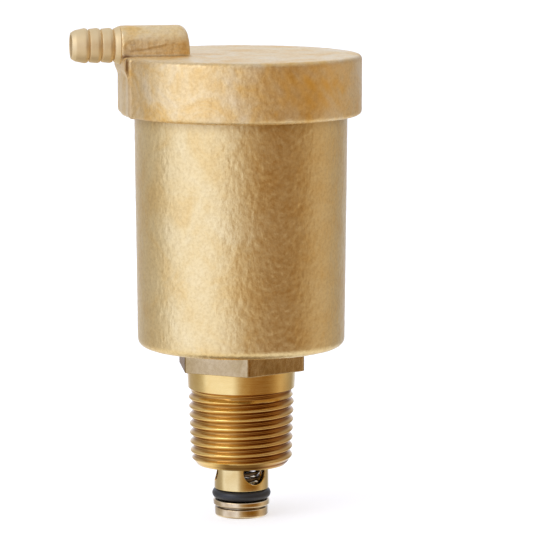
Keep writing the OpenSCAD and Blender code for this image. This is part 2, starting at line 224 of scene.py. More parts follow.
def fillet(corners, step, closed=False):
    """A path through (r, z, radius) corners: arcs at the corners, straights cut to `step`."""
    path = []
    n = len(corners)
    for i, (r, z, radius) in enumerate(corners):
        here = np.array([r, z], float)
        ends = not closed and i in (0, n - 1)
        if radius <= 0 or ends:
            path.append([here])
            continue
        before = np.array(corners[i - 1][:2], float) - here
        after = np.array(corners[(i + 1) % n][:2], float) - here
        before /= np.linalg.norm(before)
        after /= np.linalg.norm(after)
        half = math.acos(np.clip(before @ after, -1, 1)) / 2
        reach = radius / math.tan(half)
        centre = here + (before + after) / np.linalg.norm(before + after) * radius / math.sin(half)
        start, stop = here + before * reach - centre, here + after * reach - centre
        a0 = math.atan2(start[1], start[0])
        turn = (math.atan2(stop[1], stop[0]) - a0 + math.pi) % (2 * math.pi) - math.pi
        count = max(3, int(abs(turn) / math.radians(15)))
        path.append([centre + radius * np.array([math.cos(a0 + turn * k / count),
                                                 math.sin(a0 + turn * k / count)])
                     for k in range(count + 1)])
    out = []
    for i, arc in enumerate(path):
        out += arc
        if i == n - 1 and not closed:
            break
        nxt = path[(i + 1) % n][0]
        gap = np.linalg.norm(nxt - arc[-1])
        cuts = max(1, int(math.ceil(gap / step)))
        out += [arc[-1] + (nxt - arc[-1]) * k / cuts for k in range(1, cuts)]
    return np.array(out)


def lathe(name, corners, cols, materials, step=2.0, axis="z", at=(0, 0, 0), sharp=40):
    """A closed outline of (r, z, fillet) corners turned about an axis."""
    path = fillet(corners, step, closed=True)
    turn = np.linspace(0, 2 * math.pi, cols, endpoint=False)
    r, z = path[:, 0][:, None], path[:, 1][:, None]
    across, up, along = r * np.cos(turn), r * np.sin(turn), z + 0 * turn
    stack = {"z": (across, up, along), "x": (along, across, up), "y": (across, along, up)}[axis]
    verts = np.stack(stack, -1).reshape(-1, 3) + np.array(at)
    return build(name, points(verts), grid_faces(len(path), cols, True), materials, sharp=sharp)


def apply_modifiers(obj):
    """Bakes an object's modifiers into its mesh."""
    graph = bpy.context.evaluated_depsgraph_get()
    mesh = bpy.data.meshes.new_from_object(obj.evaluated_get(graph))
    obj.modifiers.clear()
    obj.data = mesh
    return obj


def roughen(co, normals, weights, low, high, seed):
    """Moves points along their normals by a pebbled cast skin, between -low and +high mm."""
    shift = Vector((seed * 7.3, seed * 3.1, seed * 5.7))
    heights = np.empty(len(co))
    for i, p in enumerate(co):
        p = Vector(p) / MM + shift
        heights[i] = (0.6 * noise.noise(p / 0.95) + 0.45 * noise.noise(p / 1.8)
                      + 0.3 * noise.noise(p / 6.0) + 0.3 * noise.noise(p / 17.0))
    heights = np.clip(heights, -1, 1) * np.where(heights > 0, high, low)
    return co + normals * (heights * weights * MM)[:, None]


# ---------------------------------------------------------------- material helpers

def new_material(name, colour, metallic, roughness):
    """A Principled material, its node tree, and its shader node."""
    material = bpy.data.materials.new(name)
    material.use_nodes = True
    tree = material.node_tree
    shader = tree.nodes["Principled BSDF"]
    shader.inputs["Base Color"].default_value = (*colour, 1)
    shader.inputs["Metallic"].default_value = metallic
    shader.inputs["Roughness"].default_value = roughness
    return material, tree, shader


def noise_node(tree, scale, detail=3.0, rough=0.55, stretch=(1, 1, 1), distortion=0.0):
    """A noise texture over the object's own coordinates, scale in features a metre."""
    coords = tree.nodes.new("ShaderNodeTexCoord")
    mapping = tree.nodes.new("ShaderNodeMapping")
    mapping.inputs["Scale"].default_value = stretch
    texture = tree.nodes.new("ShaderNodeTexNoise")
    texture.inputs["Scale"].default_value = scale
    texture.inputs["Detail"].default_value = detail
    texture.inputs["Roughness"].default_value = rough
    texture.inputs["Distortion"].default_value = distortion
    tree.links.new(coords.outputs["Object"], mapping.inputs["Vector"])
    tree.links.new(mapping.outputs["Vector"], texture.inputs["Vector"])
    return texture.outputs["Fac"]


def ramp(tree, factor, stops):
    """A colour ramp over (position, colour) stops."""
    node = tree.nodes.new("ShaderNodeValToRGB")
    elements = node.color_ramp.elements
    while len(elements) < len(stops):
        elements.new(0.5)
    for element, (place, colour) in zip(elements, stops):
        element.position = place
        element.color = (*colour, 1)
    tree.links.new(factor, node.inputs["Fac"])
    return node.outputs["Color"]


def mix_node(tree, blend, factor, first, second):
    """Mixes two colours, each a socket or plain numbers, by a factor that is a socket or a number."""
    mix = tree.nodes.new("ShaderNodeMix")
    mix.data_type = "RGBA"
    mix.blend_type = blend
    for socket, value in zip((mix.inputs["Factor"], mix.inputs[6], mix.inputs[7]), (factor, first, second)):
        if isinstance(value, bpy.types.NodeSocket):
            tree.links.new(value, socket)
        else:
            socket.default_value = (*value, 1) if isinstance(value, tuple) else value
    return mix.outputs[2]


def map_node(tree, name):
    """One of the mesh's own maps, by name: that of painted shade and stains, and that of painted golden
    shade.
    """
    node = tree.nodes.new("ShaderNodeAttribute")
    node.attribute_name = name
    return node.outputs["Fac"]


def spread(tree, factor, low, high, start=0.3, end=0.7):
    """Maps a noise value to a range of numbers."""
    node = tree.nodes.new("ShaderNodeMapRange")
    node.inputs["From Min"].default_value = start
    node.inputs["From Max"].default_value = end
    node.inputs["To Min"].default_value = low
    node.inputs["To Max"].default_value = high
    tree.links.new(factor, node.inputs["Value"])
    return node.outputs["Result"]


def add_bump(tree, shader, layers):
    """Chains bump nodes from (height socket, strength, distance in metres) layers."""
    normal = None
    for height, strength, distance in layers:
        node = tree.nodes.new("ShaderNodeBump")
        node.inputs["Strength"].default_value = strength
        node.inputs["Distance"].default_value = distance
        tree.links.new(height, node.inputs["Height"])
        if normal is not None:
            tree.links.new(normal, node.inputs["Normal"])
        normal = node.outputs["Normal"]
    tree.links.new(normal, shader.inputs["Normal"])


# ---------------------------------------------------------------- materials

def cast_material(name, light, mid, dark, shade_and_stain_colour, rough_low, rough_high, bump):
    """Blasted sand-cast brass: faint patches, grains of uneven gloss, a pebbled bump and a thin dull film.

    It takes a painted golden shade, and painted shade and stains, where the mesh's maps say.
    """
    material, tree, shader = new_material(name, mid, 1.0, 0.45)
    patches = noise_node(tree, 130, 4, 0.6, distortion=0.6)
    colour = ramp(tree, patches, [(0.32, dark), (0.5, mid), (0.68, light)])
    grain = noise_node(tree, 1700, 3, 0.65)
    speckled = mix_node(tree, "MULTIPLY", 0.3, colour,
                        ramp(tree, grain, [(0.36, (0.62, 0.55, 0.45)), (0.58, (1, 1, 1))]))
    # painted golden shade where the mesh's map says
    golden_shaded = mix_node(tree, "MIX", map_node(tree, "golden_shade"), speckled, (0.95, 0.56, 0.09))
    # painted shade and stains darken the colour where the mesh's map says
    shaded_and_stained = mix_node(tree, "MIX", map_node(tree, "shade_and_stain"), golden_shaded, shade_and_stain_colour)
    tree.links.new(shaded_and_stained, shader.inputs["Base Color"])
    gloss = spread(tree, noise_node(tree, 900, 3), rough_low, rough_high)
    tree.links.new(gloss, shader.inputs["Roughness"])
    shader.inputs["Coat Weight"].default_value = 0.25
    shader.inputs["Coat Roughness"].default_value = 0.35
    add_bump(tree, shader, [
        (noise_node(tree, 1000, 2, 0.5, (1, 1, 0.6)), bump, 0.0003),
        (noise_node(tree, 3000, 3, 0.6), bump * 0.5, 0.0001),
    ])
    return material


def turned_material(name, light, dark, rough_low, rough_high, lines, axis, shade_and_stain_colour=(0.38, 0.19, 0.05)):
    """Turned brass: fine lathe lines round the axis, faint patches, and painted shade and stains where the
    mesh has them.
    """
    material, tree, shader = new_material(name, light, 1.0, rough_low)
    patches = ramp(tree, noise_node(tree, 170, 4, 0.6, distortion=0.4), [(0.32, dark), (0.6, light)])
    # painted shade and stains darken the colour where the mesh's map says
    shaded_and_stained = mix_node(tree, "MIX", map_node(tree, "shade_and_stain"), patches, shade_and_stain_colour)
    tree.links.new(shaded_and_stained, shader.inputs["Base Color"])
    stretch = (60, 1, 1) if axis == "x" else (1, 1, 60)
    grooves = noise_node(tree, 90, 2, 0.5, stretch)
    tree.links.new(spread(tree, grooves, rough_low, rough_high), shader.inputs["Roughness"])
    add_bump(tree, shader, [(grooves, lines, 0.00005), (noise_node(tree, 700, 2), 0.08, 0.0001)])
    return material


def steel_material(name, tone, rough_low, rough_high):
    """Drawn or pressed stainless steel with faint scuffs."""
    material, tree, shader = new_material(name, tone, 1.0, rough_low)
    scuffs = noise_node(tree, 1400, 4, 0.65, (1, 1, 0.3))
    dull = tuple(c * 0.8 for c in tone)
    tree.links.new(ramp(tree, scuffs, [(0.35, dull), (0.6, tone)]), shader.inputs["Base Color"])
    tree.links.new(spread(tree, scuffs, rough_low, rough_high), shader.inputs["Roughness"])
    add_bump(tree, shader, [(scuffs, 0.15, 0.00005)])
    return material


def moulded_material(name, light, dark, roughness, bump, scale=900):
    """Rubber, fibre or plastic with a faint moulded grain and slight changes of tone."""
    material, tree, shader = new_material(name, light, 0.0, roughness)
    tone = noise_node(tree, 220, 3, 0.6)
    tree.links.new(ramp(tree, tone, [(0.3, dark), (0.65, light)]), shader.inputs["Base Color"])
    grain = noise_node(tree, scale, 3, 0.6)
    tree.links.new(spread(tree, grain, roughness - 0.06, roughness + 0.1), shader.inputs["Roughness"])
    add_bump(tree, shader, [(grain, bump, 0.0001)])
    return material


# cast_material: light, middle and dark patches, colour of painted shade and stains, the range of roughness,
# and the bump's strength
CAST = cast_material(
    "cast_brass", (0.92, 0.74, 0.41), (0.89, 0.69, 0.35), (0.86, 0.62, 0.27), (0.30, 0.17, 0.07),
    0.34, 0.44, 0.36)
CAP_CAST = cast_material(
    "cap_brass", (0.94, 0.79, 0.53), (0.92, 0.71, 0.38), (0.88, 0.57, 0.18), (0.28, 0.15, 0.06),
    0.47, 0.60, 0.40)
# the hexagon's brass: a darker copy of the cast brass, painted shade for the hexagon under the body's wide
# foot
SHADED_HEX_CAST = cast_material(
    "hexagon_brass_shaded", (0.64, 0.50, 0.31), (0.58, 0.44, 0.25), (0.46, 0.33, 0.16), (0.22, 0.14, 0.07),
    0.2, 0.3, 0.16)
hex_shader = SHADED_HEX_CAST.node_tree.nodes["Principled BSDF"]
hex_shader.inputs["Specular Tint"].default_value = (0.5, 0.38, 0.26, 1)    # brown at grazing angles too, part of the hexagon's painted shade
hex_shader.inputs["Coat Weight"].default_value = 0.05
# turned_material: light and dark patches, the range of roughness, the lathe lines' strength, axis, colour of
# painted shade and stains
THREAD_BRASS = turned_material(
    "thread_brass", (0.94, 0.66, 0.24), (0.82, 0.52, 0.15), 0.13, 0.22, 0.12, "z", (0.30, 0.12, 0.02))
NECK_BRASS = turned_material("neck_brass", (0.90, 0.67, 0.28), (0.82, 0.56, 0.20), 0.14, 0.24, 0.2, "z")
BARB_BRASS = turned_material("barb_brass", (0.85, 0.69, 0.42), (0.81, 0.63, 0.35), 0.56, 0.66, 0.12, "x")
NOSE_BRASS = turned_material("nose_brass", (0.82, 0.64, 0.31), (0.72, 0.52, 0.22), 0.13, 0.2, 0.12, "z")
# the end ring's near-black shade colour paints the shade in its gap
END_BRASS = turned_material(
    "end_brass", (0.84, 0.69, 0.46), (0.56, 0.42, 0.25), 0.12, 0.2, 0.12, "z", (0.03, 0.02, 0.01))
INNER_BRASS = turned_material("inner_brass", (0.78, 0.56, 0.22), (0.66, 0.45, 0.17), 0.3, 0.42, 0.4, "z")
STEEL = steel_material("stainless_steel", (0.62, 0.61, 0.60), 0.2, 0.36)
SPRING_STEEL = steel_material("spring_steel", (0.26, 0.23, 0.22), 0.3, 0.42)
RUBBER = moulded_material("black_rubber", (0.022, 0.023, 0.026), (0.012, 0.012, 0.014), 0.38, 0.1)
FIBRE = moulded_material("red_fibre", (0.34, 0.07, 0.05), (0.22, 0.04, 0.03), 0.75, 0.5, 2200)
WHITE_PLASTIC = moulded_material("white_plastic", (0.84, 0.84, 0.80), (0.76, 0.76, 0.71), 0.42, 0.12)
BLACK_PLASTIC = moulded_material("black_plastic", (0.04, 0.04, 0.042), (0.025, 0.025, 0.028), 0.4, 0.2)


# ---------------------------------------------------------------- vent body

COLUMNS = 420
CASTING, THREAD, HEXAGON, NECK, INSIDE = range(5)      # the body's material slots
TURN = np.linspace(0, 2 * math.pi, COLUMNS, endpoint=False) + math.radians(HEX_TURN)
FRONT_ANGLE = (np.degrees(TURN) + 270) % 360 - 180     # from the front, positive towards +X


def hex_extra():
    """How far the hexagon with rounded corners stands outside its inscribed circle, by column."""
    sector = math.pi / 3
    off = (TURN - math.radians(HEX_TURN)) % sector - sector / 2
    flat = HEX_R / np.cos(off)
    return np.minimum(flat, HEX_R / math.cos(sector / 2) - HEX_CUT) - HEX_R


def helix(height, pitch, start=0.0):
    """For each column, how far a height lies above the nearest crest of a right-hand thread, in turns."""
    return (height / pitch - TURN / (2 * math.pi) + start) % 1.0 - 0.5


def thread_rows():
    """Rows of the taper thread, chamfered at its start and undercut at the neck, and the painted shade on
    them.
    """
    flank = PITCH / 2 - CREST_HALF - ROOT_HALF
    shaded = 0.42 * bell(FRONT_ANGLE - 31, 34)         # painted shade at the front right
    rows, shade_and_stains = [], []
    for h in np.arange(0.1, THREAD_LEN - 0.02, PITCH / THREAD_ROWS):
        crest = THREAD_D / 2 + (h - GAUGE) / TAPER
        turns = helix(h, PITCH, THREAD_START)
        depth = np.clip((np.abs(turns) * PITCH - CREST_HALF) / flank, 0, 1)
        depth = 0.4 * depth + 0.6 * depth * depth * (3 - 2 * depth)
        r = crest - THREAD_DEPTH * depth
        root = crest - THREAD_DEPTH
        to_neck = THREAD_LEN - h
        undercut = root + max(0.12, 0.6 - to_neck, (to_neck - 1.05) * 0.9)
        r = np.minimum(np.minimum(r, undercut), TIP_R + TIP_SLOPE * h)
        rows.append((r, np.full(COLUMNS, THREAD_END + h)))
        below = (-turns) % 1.0                         # turns below the crest
        # painted shade: a faint darkening over the whole thread, a band on the flank below each crest, and
        # the front right's shade
        shade_and_stains.append(0.1 + 0.7 * bell(below - 0.56, 0.24) * (h > 0.4) + shaded)
    return rows, shade_and_stains


def rim_rows():
    """Rows of the thread on the rim, which the cap hides."""
    rows = []
    for z in np.arange(CAP_FOOT + 0.9, RIM_TOP - 0.6, CAP_PITCH / 10):
        depth = np.abs(helix(z, CAP_PITCH)) * 2 * CAP_THREAD_DEPTH
        rows.append((CAP_THREAD_R - depth, np.full(COLUMNS, z)))
    return rows


def make_body():
    """The casting with its machined neck, helical threads and hollow, in one closed mesh."""
    extra = hex_extra()
    rim_r = CAP_THREAD_R - CAP_THREAD_DEPTH
    foot = fillet([
        (NECK_FOOT_R, THREAD_END + THREAD_LEN, 0), (NECK_R, 0, 0.08), (HEX_R, 0, HEX_EDGE),
        (HEX_R, HEX_H, 0.3), (FOOT_R, HEX_H, FOOT_CORNER), (CHAMBER_TOP_R, CAP_FOOT, 0.2),
        (rim_r, CAP_FOOT, 0.1), (rim_r, CAP_FOOT + 0.8, 0)], 0.3)
    inside = fillet([
        (rim_r, RIM_TOP - 0.5, 0), (rim_r, RIM_TOP, 0.4), (CHAMBER_BORE_R, RIM_TOP, 0.2),
        (CHAMBER_BORE_R, FLOOR_Z, 1.5), (WELL_R, FLOOR_Z, 0.2), (WELL_R, SNAP_HIGH, 0),
        (SNAP_R, SNAP_HIGH, 0), (SNAP_R, SNAP_LOW, 0), (WELL_R, SNAP_LOW, 0), (WELL_R, WELL_Z, 0),
        (STUB_BORE_R, WELL_Z, 0), (STUB_BORE_R, STUB_STEP_Z, 0), (MOUTH_R, STUB_STEP_Z, 0),
        (MOUTH_R, THREAD_END + MOUTH_EDGE_H, 0), (MOUTH_EDGE_R, THREAD_END, 0.05),
        (TIP_R, THREAD_END, 0)], 4.0)
    rows, thread_shade = thread_rows()
    kinds = [THREAD] * len(rows)
    for r, z in foot:
        # the six flats fade into the round neck below and the round foot above
        weight = np.clip((r - NECK_R) / (HEX_R - HEX_EDGE - NECK_R), 0, 1)
        weight *= np.clip((FOOT_R - FOOT_CORNER - 1 - r) / 4, 0, 1) if z > HEX_H - 0.3 else 1
        rows.append((r + weight * extra if z < HEX_H + 0.01 else np.full(COLUMNS, r), np.full(COLUMNS, z)))
        kinds.append(NECK if r < NECK_R + 0.2 else HEXAGON if z < HEX_H - 0.2 else CASTING)
    rim = rim_rows()
    rows += rim
    kinds += [INSIDE] * len(rim)
    for r, z in inside:
        rows.append((np.full(COLUMNS, r), np.full(COLUMNS, z)))
        kinds.append(INSIDE)
    radius = np.array([r for r, _ in rows])
    height = np.array([z for _, z in rows])
    verts = points(np.stack((radius * np.cos(TURN), radius * np.sin(TURN), height), -1))
    along = np.roll(verts, -1, 0) - np.roll(verts, 1, 0)
    around = np.roll(verts, -1, 1) - np.roll(verts, 1, 1)
    normals = np.cross(around, along)
    normals /= np.linalg.norm(normals, axis=-1, keepdims=True) + 1e-12
    kinds = np.array(kinds)
    cast = np.where(kinds == CASTING, 1.0, np.where(kinds == HEXAGON, 0.6, 0.0))
    weights = (cast[:, None] * np.clip((CAP_FOOT - 0.3 - height) / 0.6, 0, 1)).reshape(-1)
    co, nr = verts.reshape(-1, 3), normals.reshape(-1, 3)
    skin = weights > 0
    co[skin] = roughen(co[skin], nr[skin], weights[skin], SKIN, SKIN, 1)
    kinds = np.repeat(kinds, COLUMNS)
    # painted shade on the casting just under the cap
    shade_and_stains = np.where(kinds == CASTING, 0.3 * bell(height.reshape(-1) - CAP_FOOT, 1.3), 0)
    shade_and_stains[:len(thread_shade) * COLUMNS] = np.concatenate(thread_shade)
    flat = np.floor((TURN - math.radians(HEX_TURN)) / (math.pi / 3)).astype(int) % 6
    flat_shade_and_tarnish = np.array([0.0, 0.15, 0.55, 0.0, 0.0, 0.1])[flat]         # by flat: painted shade on the left flat, a faint tarnish on two others
    shade_and_stains = np.where(kinds == HEXAGON, np.tile(flat_shade_and_tarnish, len(rows)), shade_and_stains)
    return build("vent_body_casting", co, grid_faces(len(rows), COLUMNS, True),
                 [CAST, THREAD_BRASS, SHADED_HEX_CAST, NECK_BRASS, INNER_BRASS], kinds, 50, shade_and_stains)


body = make_body()
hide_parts("vent_body")
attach(body, "housing")


# ---------------------------------------------------------------- cap

def prism(name, outline, low, high, axis):
    """A closed prism of an outline, along Y from the outline's (x, z) or along Z from its (x, y)."""
    n = len(outline)
    order = {"y": lambda p, h: (p[0], h, p[1]), "z": lambda p, h: (*p, h)}[axis]
    verts = [order(p, low) for p in outline] + [order(p, high) for p in outline]
    faces = [tuple(range(n)), tuple(range(2 * n - 1, n - 1, -1))]
    faces += [(i, (i + 1) % n, n + (i + 1) % n, n + i) for i in range(n)]
    return build(name, points(verts), faces, [], sharp=30)


def arc(cx, cy, r, start, stop, count=10):
    """Points of an arc between two angles in degrees."""
    angles = [math.radians(start + (stop - start) * k / count) for k in range(count + 1)]
    return [(cx + r * math.cos(a), cy + r * math.sin(a)) for a in angles]


def cap_shells():
    """The cap's overlapping closed shells: the turned cup, the side block with its pad, and the boss."""
    cup = lathe("cup", [
        (0.001, CAP_TOP, 0), (CAP_R - SKIN, CAP_TOP, CAP_EDGE), (CAP_R - SKIN, CAP_FOOT, CAP_EDGE),
        (CAP_MOUTH_R, CAP_FOOT, 0.1), (CAP_BORE_R, CAP_FOOT + 0.4, 0), (CAP_BORE_R, ROOF_Z, 0.8),
        (0.001, ROOF_Z, 0)], 360, [], 1.0)
    block = prism("block", [
        (BLOCK_ROOT_X, CAP_FOOT), *arc(BLOCK_X + CAP_EDGE, CAP_FOOT + CAP_EDGE, CAP_EDGE, 270, 180),
        (BLOCK_X, PAD_FOOT), (PAD_X, PAD_FOOT + PAD_SLOPE), (PAD_X, CAP_TOP - 0.3), (PAD_X + 0.3, CAP_TOP),
        (BLOCK_ROOT_X, CAP_TOP)], -BLOCK_HALF_W, BLOCK_HALF_W, "y")
    # the cheeks run from the block's edges to where they touch the cup's wall in a tangent
    touch = math.atan2(BLOCK_HALF_W, BLOCK_X) - math.acos(CAP_R / math.hypot(BLOCK_X, BLOCK_HALF_W))
    touch_x, touch_y = (CAP_R - 0.15) * math.cos(touch), abs((CAP_R - 0.15) * math.sin(touch))
    edge_x = BLOCK_X + CAP_EDGE * 0.35
    cheeks = prism("cheeks", [
        (edge_x, BLOCK_HALF_W - 0.1), (edge_x, 0.1 - BLOCK_HALF_W), (touch_x, -touch_y), (touch_x, touch_y)],
        CAP_FOOT + CHEEK_INSET, CAP_TOP - CHEEK_INSET, "z")
    bar_r = BOSS_R - SKIN
    bar = lathe("bar", [
        (0.001, PAD_X, 0), (bar_r, PAD_X, 0.15), (bar_r, BOSS_END, BOSS_CORNER), (0.001, BOSS_END, 0)],
        96, [], 1.0, "x", (0, 0, OUTLET_Z))
    c = BOSS_CORNER
    foot = prism("foot", [
        (PAD_X, BOSS_R), (PAD_X, -BOSS_R), *arc(BOSS_END - c, c - BOSS_R, c, -90, 0),
        *arc(BOSS_END - c, BOSS_R - c, c, 0, 90)], CAP_TOP - 0.5, OUTLET_Z, "z")
    seat_pad = lathe("seat_pad", [
        (0.001, SEAT_PAD_Z, 0), (SEAT_PAD_R, SEAT_PAD_Z, 0.3), (SEAT_PAD_R, ROOF_Z + 1, 0),
        (0.001, ROOF_Z + 1, 0)], 64, [], 1.0, "z", (SEAT_X, 0, 0))
    return [cup, block, cheeks, bar, foot, seat_pad]


def cut(shells, cutter):
    """Takes the cutter's space out of each shell, and deletes the cutter."""
    for shell in shells:
        modifier = shell.modifiers.new("cut", "BOOLEAN")
        modifier.operation = "DIFFERENCE"
        modifier.solver = "EXACT"
        modifier.object = cutter
        apply_modifiers(shell)
    bpy.data.objects.remove(cutter)


def merge(name, shells):
    """One object with all the shells' faces."""
    work = bmesh.new()
    for shell in shells:
        work.from_mesh(shell.data)
        bpy.data.objects.remove(shell)
    mesh = bpy.data.meshes.new(name)
    work.to_mesh(mesh)
    work.free()
    obj = bpy.data.objects.new(name, mesh)
    bpy.context.scene.collection.objects.link(obj)
    return obj


def boss_marks(co):
    """Height and darkening of the boss's mould joint: below a wavy line the skin lies lower and is painted
    darker.
    """
    x, y, z = co.T
    line = OUTLET_Z - 0.1 + 0.55 * np.tanh((x + 18.5) / 2.6) + 0.05 * np.sin(x * 2.3)
    below = line - z
    side = np.clip((-y - 3.0) / 0.5, 0, 1) * np.clip((x - PAD_X - 0.8) / 1.0, 0, 1)
    side = side * np.clip((BOSS_END - 0.4 - x) / 0.6, 0, 1)
    side = side * np.clip((z - CAP_TOP - 0.55) / 0.4, 0, 1)
    fade = 0.15 + 0.85 * np.clip((-15 - x) / 2.0, 0, 1)
    curl = bell(np.hypot(x + 22.3, (z - 65.9) * 1.3) - 0.45, 0.16)
    ridge = bell(z - CAP_TOP - 0.8, 0.2)
    height = 0.05 * fade * bell(below, 0.14) - 0.04 * np.clip(below / 0.25, 0, 1) - 0.05 * curl + 0.1 * ridge
    shade_and_stain = 0.36 * fade * bell(below - 0.25, 0.2) + 0.3 * curl
    return height * side, shade_and_stain * side


def cap_shade_and_stains(co):
    """How dark each point of the cap is painted, from 0 to 1: painted shade at the block's corners, along the
    top edge, on the wall beside the block, in the crease at the boss's foot and under the boss, and the
    darker skin below the boss's mould joint.
    """
    x, y, z = co.T
    on_pad = z > PAD_FOOT
    edge_x = np.where(on_pad, PAD_X + 0.3, BLOCK_X + 0.1)
    # painted shade along the front corners of the block and its pad
    corner = bell(x - edge_x, 0.35) * bell(np.abs(y) - BLOCK_HALF_W, 0.3)
    corner *= np.where(on_pad, 0.9, 0.35) * (z < CAP_TOP + 0.1)
    # painted shade along the cap's top edge
    corner += 0.26 * bell(np.hypot(x, y) - CAP_R, 0.8) * bell(z - CAP_TOP + 0.3, 0.5)
    # painted shade on the cup's wall beside the block
    corner += 0.3 * np.clip((-x - 17.5) / 5, 0, 1) * (np.abs(y) > BLOCK_HALF_W) * (z < CAP_TOP - 0.5)
    # painted shade in the crease at the boss's foot
    crease = bell(z - CAP_TOP - 0.12, 0.22) * bell(np.abs(y) - BOSS_R - 0.1, 0.35) * (x < BOSS_END + 0.3)
    # painted shadow under the boss, next to the pad
    notch = bell(np.hypot(x - PAD_X - 0.5, y + BOSS_R + 0.6), 0.9) * bell(z - CAP_TOP, 0.7)
    return np.clip(corner + 0.7 * crease + 0.8 * notch + boss_marks(co)[1], 0, 1)


def cap_golden_shade(co):
    """Painted golden shade on the cap's wall, strongest at the front right and broken into blotches."""
    x, y, z = co.T
    angle = np.degrees(np.arctan2(x, -y))
    blotches = 0.7 + 0.3 * np.sin(0.8 * x + 0.7 * z) * np.sin(0.9 * z - 0.6 * x + 1)
    blotches = blotches + 0.2 * np.sin(2.1 * x + 1.7 * z)
    # painted golden shade at the front right of the wall, in blotches
    return 0.72 * bell(angle - 24, 27) * bell(z - CAP_TOP + 4.5, 5.5) * (np.hypot(x, y) > 22.5) * blotches


def make_cap():
    """The cast cap, its shells fused by a voxel remesh so that edges and inside corners soften."""
    shells = cap_shells()
    step_x = SPIGOT_END + 0.3
    cut(shells, lathe("bore", [
        (0.001, PAD_X - 1, 0), (SPIGOT_R, PAD_X - 1, 0), (SPIGOT_R, step_x, 0), (BORE_R, step_x, 0),
        (BORE_R, BOSS_END - 1, 0), (0.001, BOSS_END - 1, 0)], 48, [], 8.0, "x", (0, 0, OUTLET_Z)))
    cap = merge("cap_casting", shells)
    remesh = cap.modifiers.new("remesh", "REMESH")
    remesh.mode = "VOXEL"
    remesh.voxel_size = VOXEL * MM
    smooth = cap.modifiers.new("smooth", "SMOOTH")
    smooth.factor = 0.5
    smooth.iterations = 5
    apply_modifiers(cap)
    mesh = cap.data
    co = np.empty(len(mesh.vertices) * 3)
    mesh.vertices.foreach_get("co", co)
    nr = np.empty(len(mesh.vertices) * 3, np.float32)
    mesh.vertex_normals.foreach_get("vector", nr)
    co, nr = co.reshape(-1, 3), nr.reshape(-1, 3).astype(float)
    shade_and_stains = cap_shade_and_stains(co / MM)
    co += nr * (boss_marks(co / MM)[0] * MM)[:, None]
    x, y, z = (co / MM).T
    # the boss's end leans back a little, as a casting's draft does
    lean = np.clip((z - CAP_TOP - 0.2) / 0.5, 0, 1) * np.clip((x + 16) / 4, 0, 1)
    co[:, 0] += MM * 0.09 * (OUTLET_Z - z) * lean
    outside = (np.hypot(x, y) > 21.8) | (z > CAP_TOP - 1.0)
    weights = np.where(outside, 1.0, 0.0) * np.clip((x - PAD_X - 0.3) / 0.3, 0, 1)
    co = roughen(co, nr, weights, SKIN, SKIN, 2)
    mesh.vertices.foreach_set("co", co.reshape(-1))
    # the cap's painted shade and stains, and its painted golden shade, as maps for the material
    mesh.attributes.new("shade_and_stain", "FLOAT", "POINT").data.foreach_set("value", shade_and_stains)
    mesh.attributes.new("golden_shade", "FLOAT", "POINT").data.foreach_set("value", cap_golden_shade(co / MM))
    mesh.materials.clear()
    mesh.materials.append(CAP_CAST)
    mesh.shade_smooth()
    return cap


cap = make_cap()
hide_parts("cap")
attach(cap, "housing")


# ---------------------------------------------------------------- hose nipple

def make_nipple():
    """Three barbs with narrow grooves between them, a tapered shoulder, and the spigot in the cap."""
    crest, foot, groove, first, pitch = 3.5, 3.32, 2.9, -25.78, 2.45
    spigot, seat = SPIGOT_R - 0.02, PAD_X + 0.02
    corners = [(BORE_R, SPIGOT_END, 0.1), (spigot, SPIGOT_END, 0.1), (spigot, seat, 0), (3.86, seat, 0.15),
               (foot, first + 0.2, 0.12)]
    for i in range(3):
        x = first - i * pitch
        corners += [(groove, x, 0.06), (foot, x - 0.2, 0.12), (crest, x - 0.7, 0.6)]
        if i < 2:
            corners.append((foot, x - pitch + 0.2, 0.12))
    corners += [(3.1, TIP_X + 0.8, 0.9), (2.62, TIP_X, 0.15), (BORE_R, TIP_X, 0.1)]
    return lathe("hose_barb", corners, 144, [BARB_BRASS], 0.6, "x", (0, 0, OUTLET_Z))


nipple = make_nipple()
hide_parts("hose_nipple")
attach(nipple, "housing")


# ---------------------------------------------------------------- shut-off sleeve

